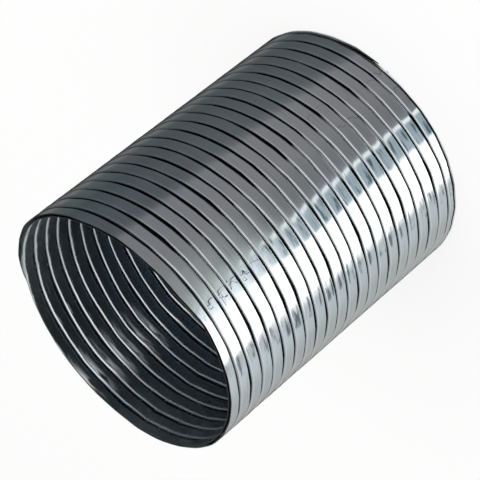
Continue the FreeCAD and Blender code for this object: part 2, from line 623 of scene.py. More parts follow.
FINISHES: dict[Zone, RolledStripSteel | PlainSteel | FoldSteelWithPaintedShade] = {
    Zone.OUTSIDE: RolledStripSteel(),
    # The rollers bend the lip over and stretch the strip's skin, which leaves a bright, slightly dull line.
    Zone.OUTER_EDGE: PlainSteel("roller_bent_stainless_outside", "cfd2d3", roughness=0.20),
    # At the sawn mouth the last fold lies open, so its painted shade is a lighter grey there, not black.
    Zone.FOLD: FoldSteelWithPaintedShade("stainless_in_the_fold_with_painted_shade", open_fold_from=21.5),
    # The groove floor's painted shade is left off only on the lower half of the hose. Further up it stays
    # black.
    Zone.GROOVE_FLOOR: FoldSteelWithPaintedShade("groove_floor_stainless_with_painted_shade", unshaded_turns=(9.0, 13.0)),
    # The web's edge lies at the groove's mouth, so its painted shade is left off on a wider side, where it
    # shines.
    Zone.WEB_EDGE: FoldSteelWithPaintedShade("webs_edge_stainless_with_painted_shade", unshaded_colour="c9caca",
                                  unshaded_azimuths=(-215.0, -70.0), unshaded_softness=6.0),
    # The folding rollers press the web flat. It is given a grey, satin steel and shows between the bore's
    # bright lines.
    Zone.WEB: PlainSteel("roller_folded_stainless_web", "9a9c9d", roughness=0.30),
    # The bore's steel: painted a little darker as shade, with painted highlights.
    Zone.INSIDE: BoreSteelWithPaintedShadeAndHighlights(),
    # The wide bend over each inner leg is painted lighter than the bore: a painted highlight added to the
    # light that the bend catches. It draws the bright lines of the bore.
    Zone.INNER_EDGE: PlainSteel("stainless_bend_with_painted_highlight", "dcdfe1", roughness=0.26),
    # The saw leaves its cut grey and finely torn, so the rims look like a thin matt line.
    Zone.SAWN: PlainSteel("sawn_stainless_end", "8f9293", roughness=0.35),
}


@dataclass(frozen=True)
class SectionCorner:
    """A sharp corner of the strip's section, in mm, with its bend's radius.

    The zones are the bend's own and the one of the side after it.
    """

    place: Vector
    radius: float
    bend_zone: Zone
    side_zone: Zone


@dataclass(frozen=True)
class SectionPoint:
    """One point of the strip's section, in mm, and the zone of the face that starts there."""

    reach: float
    height: float
    zone: Zone
    travelled: float


@dataclass
class StripSection:
    """The strip's section: upper lip, outer leg, web, inner leg and lower lip, all of one thickness.

    Heights are counted from the outer leg's upper edge. All of its sizes are in mm.
    """

    bore_across_flats: float = 102.0
    wall_height: float = 1.6
    thickness: float = 0.4
    pitch: float = 6.0
    groove: float = 0.95
    lip_clearance: float = 0.2
    # radii inside the bends: of the lip, of the web's outer edge and the folds, and on the bore's side
    lip_bend_radius: float = 0.35
    web_bend_radius: float = 0.05
    bore_bend_radius: float = 0.7
    outer_bend_steps: int = 5
    inner_bend_steps: int = 2
    # how far the middle of a leg stands proud of its ends
    crown: float = 0.03
    crown_steps: int = 4

    @property
    def outer_reach(self) -> float:
        """Half the distance across the outside's flats."""
        return self.bore_across_flats / 2 + self.wall_height

    def corners(self) -> list[SectionCorner]:
        """Lay the section's corners out.

        Returns:
            The corners, in their order round the section.
        """
        bore = self.bore_across_flats / 2
        outer = self.outer_reach
        thick = self.thickness
        lip = thick + self.lip_clearance
        leg = self.pitch - self.groove
        lip_bend = self.lip_bend_radius
        web_bend = self.web_bend_radius
        bore_bend = self.bore_bend_radius
        low = 2 * leg - thick
        return [
            SectionCorner(Vector((bore + lip, 0)), 0, Zone.FOLD, Zone.FOLD),
            SectionCorner(Vector((bore + lip, -thick)), 0, Zone.FOLD, Zone.FOLD),
            SectionCorner(Vector((outer - thick, -thick)), lip_bend, Zone.FOLD, Zone.FOLD),
            SectionCorner(Vector((outer - thick, thick - leg)), web_bend, Zone.FOLD, Zone.WEB),
            SectionCorner(Vector((bore, thick - leg)), bore_bend + thick, Zone.INNER_EDGE, Zone.INSIDE),
            SectionCorner(Vector((bore, -low)), web_bend + thick, Zone.INSIDE, Zone.FOLD),
            SectionCorner(Vector((outer - lip, -low)), 0, Zone.FOLD, Zone.FOLD),
            SectionCorner(Vector((outer - lip, thick - low)), 0, Zone.FOLD, Zone.FOLD),
            SectionCorner(Vector((bore + thick, thick - low)), web_bend, Zone.FOLD, Zone.GROOVE_FLOOR),
            SectionCorner(Vector((bore + thick, -leg)), bore_bend, Zone.FOLD, Zone.FOLD),
            SectionCorner(Vector((outer, -leg)), web_bend + thick, Zone.WEB_EDGE, Zone.OUTSIDE),
            SectionCorner(Vector((outer, 0)), lip_bend + thick, Zone.OUTER_EDGE, Zone.FOLD),
        ]

    def outline(self) -> list[SectionPoint]:
        """Draw the section with round bends and slightly crowned legs.

        Returns:
            The section's points, in their order round it.
        """
        corners = self.corners()
        points = []
        for number, corner in enumerate(corners):
            following = corners[(number + 1) % len(corners)]
            before = (corner.place - corners[number - 1].place).normalized()
            after = (following.place - corner.place).normalized()
            points += self._bent(corner, before, after)
            if corner.side_zone in (Zone.OUTSIDE, Zone.INSIDE):
                end = following.place - after * following.radius
                points += [(at, corner.side_zone) for at in self._crowned(points[-1][0], end, after)]
        travelled = 0.0
        made = []
        for number, (at, zone) in enumerate(points):
            if number:
                travelled += (at - points[number - 1][0]).length
            made.append(SectionPoint(at.x, at.y, zone, travelled))
        return made

    def _bent(self, corner: SectionCorner, before: Vector, after: Vector) -> list[tuple[Vector, Zone]]:
        """Round one corner off, if it has a radius.

        Args:
            corner: The corner.
            before: The direction in which the section comes to it.
            after: The direction in which the section leaves it.

        Returns:
            The bend's points, each with the zone of the face that starts there.
        """
        if not corner.radius:
            return [(corner.place, corner.side_zone)]
        centre = corner.place - before * corner.radius + after * corner.radius
        steps = self.outer_bend_steps if corner.radius > self.thickness else self.inner_bend_steps
        points = []
        for step in range(steps + 1):
            angle = math.pi / 2 * step / steps
            at = centre - after * corner.radius * math.cos(angle) + before * corner.radius * math.sin(angle)
            points.append((at, corner.bend_zone if step < steps else corner.side_zone))
        return points

    def _crowned(self, start: Vector, end: Vector, along: Vector) -> list[Vector]:
        """Divide a leg and let its middle stand a little proud.

        Args:
            start: Where the leg's straight part starts.
            end: Where it ends.
            along: The leg's direction.

        Returns:
            The points between the two ends.
        """
        proud = Vector((along.y, -along.x))
        points = []
        for step in range(1, self.crown_steps):
            share = step / self.crown_steps
            # a parabola that is 0 at both ends and 1 in the middle
            bulge = 4 * share * (1 - share) * self.crown
            points.append(start.lerp(end, share) + proud * bulge)
        return points


@dataclass
class Mandrel:
    """The many-sided bar that the strip is wound on. It gives every turn its flats."""

    flats: int = 29
    corner_azimuth: float = math.radians(-96.0)
    corner_radius: float = 31.0
    # how far a corner may stray round the hose, and outwards in mm
    stray: float = math.radians(0.8)
    stray_out: float = 0.03
    # how much of the inner leg's kink is left where a corner's arc starts and ends, and how much of it is
    # the mandrel's own and so the same on every turn
    kink_spread: float = 0.35
    kink_shared: float = 0.75
    seed: int = 7

    @property
    def step(self) -> float:
        """The angle of one flat."""
        return FULL_TURN / self.flats

    def _chance(self, corner: int, what: str) -> float:
        """Give a corner's own number between -1 and 1."""
        return random.Random(f"{self.seed} {what} {corner}").uniform(-1, 1)

    def azimuth(self, corner: int) -> float:
        """Give a corner's azimuth, counted on from turn to turn."""
        return self.corner_azimuth + corner * self.step + self._chance(corner, "round") * self.stray

    def kink(self, corner: int, turned: int) -> float:
        """Give how far a corner pushes the inner leg along the hose.

        Args:
            corner: The corner's number, counted from the first one.
            turned: -1 where the corner's arc starts, 0 in its middle and 1 where it ends.

        Returns:
            The push, between -1 and 1.
        """
        shared = self._chance(corner % self.flats, "mandrel's own push") * self.kink_shared
        own = self._chance(corner, "push") * (1 - self.kink_shared)
        return (shared + own) * (self.kink_spread if turned else 1.0)

    def centre_distance(self, outer_reach: float) -> float:
        """Give the distance from the axis to the centre of a corner's arc."""
        return (outer_reach - self.corner_radius) / math.cos(self.step / 2)

    def point(self, corner: int, turned: int, reach: float, outer_reach: float) -> Vector:
        """Give one point of a section's path round a corner.

        Args:
            corner: The corner's number, counted from the first one.
            turned: -1 where the arc starts, 0 in its middle and 1 where it ends.
            reach: The point's distance from the axis at the middle of a flat.
            outer_reach: The same for the strip's outside.

        Returns:
            The level place of the point.
        """
        azimuth = self.azimuth(corner)
        centre = self.centre_distance(outer_reach) + self._chance(corner, "out") * self.stray_out
        arc = reach - self.centre_distance(outer_reach) * math.cos(self.step / 2)
        return direction(azimuth) * centre + direction(azimuth + turned * self.step / 2) * arc


@dataclass
class SawCuts:
    """Where the hose was sawn off: square below, and above by hand, with a raised lip at one side."""

    length: float = 129.0
    # azimuth in degrees and the rise of the upper rim there
    lip: tuple[tuple[float, float], ...] = (
        (-112.0, 0.0), (-90.0, 2.3), (-66.0, 2.8), (-42.0, 3.6), (-10.0, 3.2), (25.0, 1.5), (45.0, 0.0))

    def rise(self, azimuth: float) -> float:
        """Give how far the upper rim stands above the square cut.

        Args:
            azimuth: The azimuth in radians.

        Returns:
            The rise in mm.
        """
        half = FULL_TURN_DEGREES / 2
        angle = (math.degrees(azimuth) + half) % FULL_TURN_DEGREES - half
        for (low, low_rise), (high, high_rise) in zip(self.lip, self.lip[1:]):
            if low <= angle <= high:
                share = (angle - low) / (high - low)
                # starts and ends level
                eased = share * share * (3 - 2 * share)
                return low_rise + (high_rise - low_rise) * eased
        return 0.0


@dataclass
class WoundStrip:
    """The one folded strip, wound from end to end. Its sizes are in mm."""

    section: StripSection = field(default_factory=StripSection)
    mandrel: Mandrel = field(default_factory=Mandrel)
    cuts: SawCuts = field(default_factory=SawCuts)
    # height of the groove at azimuth 0, and how much higher than its middle every turn lies there
    groove_height: float = 1.55
    lean: float = 0.69
    # how far the turns rise and dip twice on their way round, and where they are highest
    dip: float = 0.12
    dip_azimuth: float = math.radians(-60.0)
    # how far the turns wander, and the waves that this is made of: how many to a turn, and where they start
    wander: float = 0.10
    wander_waves: tuple[tuple[float, float], ...] = ((5.3, 0.0), (8.7, 1.3), (2.9, 0.4))
    # how far the corners may push the bore's side of the strip along the hose
    kink: float = 0.75
    # edges that turn by more than this look sharp
    sharp_angle: float = math.radians(40)
    # points nearer to a saw cut than this count as on it
    cut_tolerance: float = 1e-5

    def build(self) -> bpy.types.Object:
        """Wind the strip, saw it off at both ends and dress it.

        Returns:
            The finished strip.
        """
        mesh = bmesh.new()
        self._wind(mesh)
        self._saw(mesh)
        data = bpy.data.meshes.new("strip")
        mesh.to_mesh(data)
        mesh.free()
        data.transform(Matrix.Scale(MM, 4))
        strip = bpy.data.objects.new("strip", data)
        bpy.context.collection.objects.link(strip)
        self._dress(strip)
        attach(strip, "root")
        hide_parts("wound_strip")
        return strip

    def _dress(self, strip: bpy.types.Object) -> None:
        """Shade the strip smooth but for its sharp edges, and give each zone its finish.

        Args:
            strip: The sawn strip.
        """
        strip.data.shade_smooth()
        strip.data.set_sharp_from_angle(angle=self.sharp_angle)
        strip.modifiers.new("flat_faces_shade_flat", "WEIGHTED_NORMAL").keep_sharp = True
        for zone in Zone:
            strip.data.materials.append(FINISHES[zone].material())

    def _stations(self, strip_height: float) -> range:
        """Number the mandrel's corners that the strip is wound over, with a turn to spare at both ends.

        Args:
            strip_height: How far the section reaches down from its upper edge.

        Returns:
            The corners' numbers.
        """
        flats = self.mandrel.flats
        pitch = self.section.pitch
        first_height = self._first_height()
        highest = self.cuts.length + max(rise for _, rise in self.cuts.lip)
        first = math.floor(-first_height / pitch * flats) - flats
        last = math.ceil((highest + strip_height - first_height) / pitch * flats) + flats
        return range(first, last)

    def _first_height(self) -> float:
        """Give the height of the outer leg's upper edge at azimuth 0 on the lowest turn."""
        return self.groove_height - self.section.groove / 2

    def _wind(self, mesh: bmesh.types.BMesh) -> None:
        """Lay the section's points at every station of the helix and skin them.

        Args:
            mesh: The empty mesh that gets the winding, in mm.
        """
        outline = self.section.outline()
        outer = self.section.outer_reach
        place_layer = mesh.verts.layers.float_vector.new(STRIP_PLACE)
        rings = []
        for corner in self._stations(-min(point.height for point in outline)):
            azimuth = self.mandrel.azimuth(corner)
            for turned in (-1, 0, 1):
                # an arc's first and last points lie a little to either side of its corner
                outside = self.mandrel.point(corner, turned, outer, outer)
                aside = math.asin(max(-1, min(1, direction(azimuth).cross(outside.normalized()).z)))
                wound = azimuth + aside
                lift = self._first_height() + self.section.pitch * wound / FULL_TURN + self._aside(wound)
                kink = self.kink * self.mandrel.kink(corner, turned)
                ring = []
                for point in outline:
                    level = self.mandrel.point(corner, turned, point.reach, outer)
                    pushed = kink * (outer - point.reach) / self.section.wall_height
                    vert = mesh.verts.new((level.x, level.y, point.height + lift + pushed))
                    vert[place_layer] = Vector((wound * outer, point.travelled, math.degrees(wound)))
                    ring.append(vert)
                rings.append(ring)
        count = len(outline)
        for here, there in zip(rings, rings[1:]):
            for side in range(count):
                after = (side + 1) % count
                face = mesh.faces.new((here[side], there[side], there[after], here[after]))
                face.material_index = outline[side].zone.value

    def _aside(self, wound: float) -> float:
        """Give how far the strip lies above an even helix. It leans, dips and wanders a little.

        Args:
            wound: The radians wound round the hose, counted on from turn to turn.

        Returns:
            The height above the helix, in mm.
        """
        wander = sum(math.sin(rate * wound + start) for rate, start in self.wander_waves)
        dip = self.dip * math.cos(2 * (wound - self.dip_azimuth))
        return self.lean * math.cos(wound) + dip + self.wander * wander

    def _saw(self, mesh: bmesh.types.BMesh) -> None:
        """Saw both ends off. The upper rim is cut flat in a space in which its rise is taken away.

        Args:
            mesh: The winding.
        """
        self._cut_flat(mesh, 0.0, -1)
        self._shift_rim(mesh, -1)
        self._cut_flat(mesh, self.cuts.length, 1)
        self._shift_rim(mesh, 1)

    def _shift_rim(self, mesh: bmesh.types.BMesh, way: int) -> None:
        """Move every point up or down by the upper rim's rise at its azimuth."""
        for vert in mesh.verts:
            vert.co.z += way * self.cuts.rise(math.atan2(vert.co.y, vert.co.x))

    def _cut_flat(self, mesh: bmesh.types.BMesh, height: float, outward: int) -> None:
        """Take away what lies past a level plane and close the cut.

        Args:
            mesh: The winding.
            height: The plane's height in mm.
            outward: 1 where the hose lies below the plane and -1 where it lies above it.
        """
        geometry = mesh.verts[:] + mesh.edges[:] + mesh.faces[:]
        cut = bmesh.ops.bisect_plane(mesh, geom=geometry, dist=self.cut_tolerance, plane_co=(0, 0, height),
                                     plane_no=(0, 0, outward), clear_outer=True)
        rim = [item for item in cut["geom_cut"] if isinstance(item, bmesh.types.BMEdge)]
        filled = bmesh.ops.triangle_fill(mesh, use_beauty=True, use_dissolve=False, edges=rim,
                                         normal=(0, 0, outward))
        for item in filled["geom"]:
            if isinstance(item, bmesh.types.BMFace):
                item.material_index = Zone.SAWN.value
                item.normal_update()
                if item.normal.z * outward < 0:
                    item.normal_flip()


@dataclass(frozen=True)
class PhotoCamera:
    """The camera at the photograph's viewing angle. The picture shows the standing hose lying over."""

    elevation: float = math.radians(31.30)
    azimuth: float = math.radians(-0.088)
    roll: float = math.radians(129.13)
    # distance, aim, focal length and sensor are in mm, the nearest and the farthest that it sees in metres
    distance: float = 826.15
    aim: tuple[float, float, float] = (-1.08, 0.70, 65.66)
    focal_length: float = 163.55
    sensor: float = 36.0
    nearest: float = 0.05
    farthest: float = 50.0

    def look(self) -> Vector:
        """Give the direction in which the camera looks."""
        level = Vector((math.sin(self.azimuth), math.cos(self.azimuth), 0))
        return level * math.cos(self.elevation) - Vector((0, 0, math.sin(self.elevation)))

    def location(self) -> Vector:
        """Give the camera's place in mm."""
        return Vector(self.aim) - self.look() * self.distance

    def build(self) -> bpy.types.Object:
        """Make the camera and set it as the scene's own.

        Returns:
            The camera.
        """
        data = bpy.data.cameras.new("photo_camera")
        data.lens = self.focal_length
        data.sensor_width = self.sensor
        data.clip_start = self.nearest
        data.clip_end = self.farthest
        camera = bpy.data.objects.new("photo_camera", data)
        bpy.context.collection.objects.link(camera)
        look = self.look()
        upright = Vector((0, 0, 1)) - look * look.z
        upright.normalize()
        up = Matrix.Rotation(self.roll, 3, look) @ upright
        right = look.cross(up)
        turn = Matrix((right, up, -look)).transposed()
        camera.matrix_world = Matrix.Translation(self.location() * MM) @ turn.to_4x4()
        bpy.context.scene.camera = camera
        return camera


@dataclass(frozen=True)
class ClothStop:
    """One place on the painted floor cloth, by the side angle at which the hose's flats show it.

    Side angles are counted round the standing hose from the camera's side, in degrees, and are positive to
    the left. The colour is the one that the steel then takes, and the gain makes it brighter than white.
    """

    angle: float
    colour: str
    gain: float = 1.0


@dataclass(frozen=True)
class SkyStop:
    """One azimuth, in degrees, of the painted dome that the bends show, with its colours.

    They are the colours just above the horizon, higher up and overhead.
    """

    azimuth: float
    low: str
    high: str
    top: str


@dataclass
class Studio:
    """The pale floor, the soft lamp, and the painted cloth and dome that the polished steel reflects.

    Its sizes are in mm, apart from those that have metres in their names.
    """

    camera: PhotoCamera
    strip: WoundStrip
    floor_size_metres: float = 12.0
    floor_colour: str = "f4f4f2"
    # how much of the floor's white is its own where it is seen, and how strong the world's light is
    # where it isn't seen
    floor_glow: float = 0.8
    world_light: float = 0.6
    softbox_size_metres: float = 1.6
    softbox_watts: float = 18.0
    softbox_place_metres: tuple[float, float, float] = (0.3, -0.4, 1.6)
    # how far from the axis the sight lines land on the hose, and how high above the floor the cloth lies
    foot_radius: float = 52.9
    cloth_height: float = 0.4
    # the side angles and the heights on the hose that the cloth is laid out by, with their steps. Its hem
    # lies further out than any sight line off a flat comes down.
    cloth_angles: tuple[int, int] = (-90, 90)
    cloth_angle_step: int = 3
    cloth_heights: tuple[int, int] = (0, 140)
    cloth_height_step: int = 10
    cloth_hem_heights: tuple[int, ...] = (200, 300)
    # below the first of these heights on the hose the far stripes show, and above the second the near ones
    far_turns: float = 76.0
    near_turns: float = 108.0
    # how far the stripes stray from turn to turn
    ragged_degrees: float = 0.35
    # how far up the hose the dark line at its foot is seen on its right and on its left side, the side
    # angles where these are, and its colour
    foot_shade: tuple[float, float] = (1.7, 1.0)
    foot_sides: tuple[float, float] = (-20.0, 10.0)
    foot_colour: str = "15181a"
    # the side angle as far as which the floor beyond the painted cloth is dark, the heights on the hose that
    # it is laid out by, all of them lower than the camera, and its colour
    dark_until: int = -21
    dark_heights: tuple[int, ...] = (300, 340, 370, 396)
    dark_colour: str = "343c40"
    disc_radius: float = 50.5
    disc_sides: int = 48
    disc_colour: str = "323a42"
    dome_radius: float = 3000.0
    dome_azimuths: tuple[int, int] = (-180, 180)
    dome_azimuth_step: int = 5
    dome_elevations: tuple[int, int] = (0, 90)
    dome_elevation_step: int = 6
    # elevations in degrees at which the dome's low, high and top colours are pure
    low_sky: float = 16.0
    high_sky: float = 42.0
    top_sky: float = 64.0
    # the share of a colour that polished steel gives back
    steel_share: float = 0.58
    # how far the step in the paint moves round the hose for each mm of height, and where it is as painted
    step_slant: float = 0.06
    step_angle: float = 9.0
    step_height: float = 69.0
    # the stripes of the turns near the mouth, then those of the turns near the foot, then the dome
    near_cloth: tuple[ClothStop, ...] = (
        ClothStop(-90, "101214"),
        ClothStop(-77.5, "0a0c0d"),
        ClothStop(-76, "545656"),
        ClothStop(-71, "666868"),
        ClothStop(-65, "4e5656"),
        ClothStop(-54, "424b4e"),
        ClothStop(-44, "4c5458"),
        ClothStop(-35, "4d5559"),
        ClothStop(-31, "575b5f"),
        ClothStop(-28, "72757a"),
        ClothStop(-12, "797a7e"),
        ClothStop(-5, "7f8284"),
        ClothStop(1, "8c9291"),
        ClothStop(5, "a4aeab"),
        ClothStop(9.0, "c0ccca"),
        ClothStop(9.2, "3e4a52"),
        ClothStop(9.5, "3e4a52"),
        ClothStop(9.8, "dfeaf1"),
        ClothStop(14, "edf5fa"),
        ClothStop(17, "fafdff", 1.1),
        ClothStop(19.5, "ffffff", 1.6),
        ClothStop(36.0, "ffffff", 1.6),
        ClothStop(36.6, "a6acb0"),
        ClothStop(40, "b4bbbe"),
        ClothStop(47, "bcc7cb"),
        ClothStop(53, "adb6b6"),
        ClothStop(60, "a3a9aa"),
        ClothStop(71, "999a99"),
        ClothStop(76, "8a8a88"),
        ClothStop(80, "484848"),
    )
    far_cloth: tuple[ClothStop, ...] = (
        ClothStop(-90, "101214"),
        ClothStop(-77.5, "0a0c0d"),
        ClothStop(-76, "484a4a"),
        ClothStop(-71, "646867"),
        ClothStop(-63, "484f50"),
        ClothStop(-54, "4a5053"),
        ClothStop(-44, "50575a"),
        ClothStop(-35, "565c5f"),
        ClothStop(-31, "636668"),
        ClothStop(-28, "78797c"),
        ClothStop(-12, "7a7b7d"),
        ClothStop(-5, "747578"),
        ClothStop(1, "717376"),
        ClothStop(6.3, "7c8083"),
        ClothStop(6.7, "e4eef0"),
        ClothStop(9.0, "eef6f6"),
        ClothStop(9.4, "9aabb3"),
        ClothStop(13, "93a4ac"),
        ClothStop(16.9, "9fb0b8"),
        ClothStop(17.3, "f2f7fa"),
        ClothStop(20, "ffffff", 1.6),
        ClothStop(36.5, "ffffff", 1.6),
        ClothStop(38.5, "e0e6e8"),
        ClothStop(40.5, "b0babc"),
        ClothStop(47, "b5bfc2"),
        ClothStop(53, "adb6b6"),
        ClothStop(60, "a1a7a5"),
        ClothStop(71, "9b9e9b"),
        ClothStop(76, "8c8e8a"),
        ClothStop(80, "484848"),
    )
    sky: tuple[SkyStop, ...] = (
        SkyStop(-180, "b4b8ba", "8c9092", "505456"),
        SkyStop(-160, "dcdfe0", "c4c8ca", "5c6062"),
        SkyStop(-122, "e8ecee", "d0d4d6", "606466"),
        SkyStop(-110, "d0d2d3", "d0d1d2", "a0a2a4"),
        SkyStop(-104, "b4b4b6", "d0d1d2", "d0d1d2"),
        SkyStop(-70, "b0b0b2", "cccdce", "cccdce"),
        SkyStop(-62, "88888a", "8c8c8e", "8c8c8e"),
        SkyStop(-37, "868688", "888a8c", "888a8c"),
        SkyStop(-25, "5a5e62", "54585c", "54585c"),
        SkyStop(0, "50565a", "484d50", "464b4e"),
        SkyStop(20, "444a4d", "3a4043", "34383a"),
        SkyStop(40, "444849", "383c3e", "2c2e30"),
        SkyStop(60, "3c3e3e", "303234", "242628"),
        SkyStop(94, "3c3e40", "343638", "242628"),
        SkyStop(110, "868887", "7e807f", "3c3e40"),
        SkyStop(124, "909495", "84888a", "3c3e40"),
        SkyStop(138, "a0a6a8", "8a9092", "3c3e40"),
        SkyStop(153, "a0a6a8", "848a8c", "3c3e40"),
        SkyStop(170, "a4a8aa", "868a8c", "484c4e"),
        SkyStop(180, "b4b8ba", "8c9092", "505456"),
    )

    def build(self) -> None:
        """Set the whole studio up."""
        self._floor()
        self._world()
        self._lamps()
        self._cloth()
        self._dark_cloth()
        self._dome()
        self._under_mouth()
        bpy.context.scene.view_settings.view_transform = "Standard"

    def _seen_ray(self, tree: Tree) -> Socket:
        """Tell the rays that show the background: seen directly, in metal or through glass.

        Args:
            tree: The node tree that gets the nodes.

        Returns:
            1 on such rays and 0 on others.
        """
        path = add_node(tree, "ShaderNodeLightPath")
        shiny = add_node(tree, "ShaderNodeMath",
                         {0: path.outputs["Is Camera Ray"], 1: path.outputs["Is Glossy Ray"]},
                         operation="MAXIMUM")
        clear = add_node(tree, "ShaderNodeMath",
                         {0: shiny.outputs[0], 1: path.outputs["Is Transmission Ray"]}, operation="MAXIMUM")
        return clear.outputs[0]

    def _floor(self) -> None:
        """Lay the pale floor. Part of its white is its own, so that the shadow on it stays soft."""
        bpy.ops.mesh.primitive_plane_add(size=self.floor_size_metres)
        floor = bpy.context.object
        floor.name = "floor"
        # matt white backdrop paper, which is uncoated and shows no reflections
        made = bpy.data.materials.new("matt_backdrop_paper")
        made.use_nodes = True
        tree = made.node_tree
        tree.nodes.clear()
        matt = add_node(tree, "ShaderNodeBsdfDiffuse", {"Color": linear(self.floor_colour)})
        own = add_node(tree, "ShaderNodeEmission", {"Color": WHITE, "Strength": 1.0})
        share = add_node(tree, "ShaderNodeMath", {0: self._seen_ray(tree), 1: self.floor_glow},
                         operation="MULTIPLY")
        mixed = add_node(tree, "ShaderNodeMixShader",
                         {0: share.outputs[0], 1: matt.outputs[0], 2: own.outputs[0]})
        add_node(tree, "ShaderNodeOutputMaterial", {"Surface": mixed.outputs[0]})
        floor.data.materials.append(made)

    def _world(self) -> None:
        """Make the world white where it is seen and a plain soft light elsewhere."""
        world = bpy.data.worlds.new("studio")
        bpy.context.scene.world = world
        world.use_nodes = True
        tree = world.node_tree
        tree.nodes.clear()
        light = add_node(tree, "ShaderNodeBackground", {"Color": WHITE, "Strength": self.world_light})
        shown = add_node(tree, "ShaderNodeBackground", {"Color": WHITE, "Strength": 1.0})
        mixed = add_node(tree, "ShaderNodeMixShader",
                         {0: self._seen_ray(tree), 1: light.outputs[0], 2: shown.outputs[0]})
        add_node(tree, "ShaderNodeOutputWorld", {"Surface": mixed.outputs[0]})

    def _lamps(self) -> None:
        """Hang one large softbox over the hose. The steel doesn't mirror it."""
        data = bpy.data.lights.new("softbox", "AREA")
        data.shape = "RECTANGLE"
        data.size = self.softbox_size_metres
        data.size_y = self.softbox_size_metres
        data.energy = self.softbox_watts
        lamp = bpy.data.objects.new("softbox", data)
        bpy.context.collection.objects.link(lamp)
        lamp.location = self.softbox_place_metres
        lamp.rotation_euler = (-lamp.location).to_track_quat("-Z", "Y").to_euler()
        lamp.visible_glossy = False

    def _only_reflected(self, thing: bpy.types.Object) -> Tree:
        """Let nothing but polished metal see a thing, and start its paint.

        Args:
            thing: The painted thing.

        Returns:
            The empty node tree of its paint.
        """
        thing.visible_camera = False
        thing.visible_diffuse = False
        thing.visible_shadow = False
        thing.visible_transmission = False
        thing.visible_volume_scatter = False
        made = bpy.data.materials.new(thing.name)
        made.use_nodes = True
        made.cycles.emission_sampling = "NONE"
        made.node_tree.nodes.clear()
        thing.data.materials.append(made)
        return made.node_tree

    def _glow(self, tree: Tree, colour: Socket | Colour) -> None:
        """Make paint glow so that the steel, which dims it, shows its colour as it is."""
        glow = add_node(tree, "ShaderNodeEmission", {"Color": colour, "Strength": 1 / self.steel_share})
        add_node(tree, "ShaderNodeOutputMaterial", {"Surface": glow.outputs[0]})

    def _sheet(self, name: str, points: list[Vector], faces: list[tuple[int, ...]],
               paint_places: list[tuple[float, float, float]] | None = None) -> bpy.types.Object:
        """Make a painted sheet from points in mm.

        Args:
            name: Its name.
            points: Its points.
            faces: Its faces.
            paint_places: Three numbers for each point, by which its paint is laid on. Plain ones have none.

        Returns:
            The new sheet.
        """
        data = bpy.data.meshes.new(name)
        data.from_pydata([point * MM for point in points], [], faces)
        if paint_places:
            places = data.attributes.new(PAINT_PLACE, "FLOAT_VECTOR", "POINT")
            for item, place in zip(places.data, paint_places):
                item.vector = place
        sheet = bpy.data.objects.new(name, data)
        bpy.context.collection.objects.link(sheet)
        return sheet

    def _paint_place(self, tree: Tree) -> bpy.types.NodeOutputs:
        """Give the three numbers by which a sheet's paint is laid on."""
        place = add_node(tree, "ShaderNodeAttribute", attribute_name=PAINT_PLACE)
        return add_node(tree, "ShaderNodeSeparateXYZ", {0: place.outputs["Vector"]}).outputs

    def _ramp(self, tree: Tree, place: Socket, span: tuple[float, float],
              stops: list[tuple[float, str, float]]) -> Socket:
        """Colour a number by stops.

        Args:
            tree: The node tree that gets the nodes.
            place: The number.
            span: The lowest and the highest number there is.
            stops: Each stop's place, colour and gain, in order.

        Returns:
            The colour.
        """
        low, high = span
        share = add_node(tree, "ShaderNodeMapRange", {"Value": place, "From Min": low, "From Max": high})
        ramp = add_node(tree, "ShaderNodeValToRGB", {0: share.outputs[0]})
        # a new ramp comes with two stops of its own
        elements = ramp.color_ramp.elements
        while len(elements) > 1:
            elements.remove(elements[-1])
        for number, (at, colour, gain) in enumerate(stops):
            position = (at - low) / (high - low)
            if number:
                element = elements.new(position)
            else:
                element = elements[0]
                element.position = position
            element.color = [channel * gain for channel in linear(colour)[:3]] + [1.0]
        return ramp.outputs[0]

    def _bounce(self, side_angle: float, height: float) -> Vector:
        """Follow the camera's sight line off one of the hose's flats down to the floor.

        Args:
            side_angle: Where on the hose it lands, in degrees from the camera's side.
            height: How high on the hose it lands, in mm.

        Returns:
            Where it comes down, just above the floor.
        """
        normal = direction(self._azimuth(side_angle))
        landing = normal * self.foot_radius + Vector((0, 0, height))
        sight = landing - self.camera.location()
        inward = min(0.0, sight.dot(normal))
        leaves = sight - normal * 2 * inward
        return landing + leaves * height / -leaves.z + Vector((0, 0, self.cloth_height))

    def _azimuth(self, side_angle: float) -> float:
        """Give the azimuth in radians of a side angle in degrees. The camera's side is at -90 degrees."""
        return math.radians(-90 - side_angle)

    def _stepped(self, angle: float, height: float) -> float:
        """Give the side angle whose paint lies at an angle and a height, as the paint's step is slanted."""
        nearness = max(0.0, 1 - abs(angle - self.step_angle) / self.step_angle)
        return angle + self.step_slant * (self.step_height - min(height, self.cloth_heights[1])) * nearness

    def _turn_at(self, side_angle: float, height: float) -> float:
        """Give the turn, with its fraction, that lies at a side angle and a height.

        Args:
            side_angle: The side angle in degrees.
            height: The height in mm.

        Returns:
            The turn, counted in grooves from the foot.
        """
        azimuth = self._azimuth(side_angle)
        pitch = self.strip.section.pitch
        groove = self.strip.groove_height + pitch * azimuth / FULL_TURN + self.strip.lean * math.cos(azimuth)
        return (height - groove) / pitch

    def _cloth(self) -> None:
        """Lay the painted cloth on the floor, where the sight lines off the hose come down."""
        first, last = self.cloth_angles
        lowest, highest = self.cloth_heights
        angles = range(first, last + 1, self.cloth_angle_step)
        heights = [*range(lowest, highest + 1, self.cloth_height_step), *self.cloth_hem_heights]
        points = []
        paint_places = []
        for angle in angles:
            for height in heights:
                points.append(self._bounce(angle, height))
                paint_places.append((self._stepped(angle, height), height, self._turn_at(angle, height)))
        faces = self._grid_faces(len(angles), len(heights))
        self._paint_cloth(self._only_reflected(self._sheet("painted_cloth", points, faces, paint_places)))

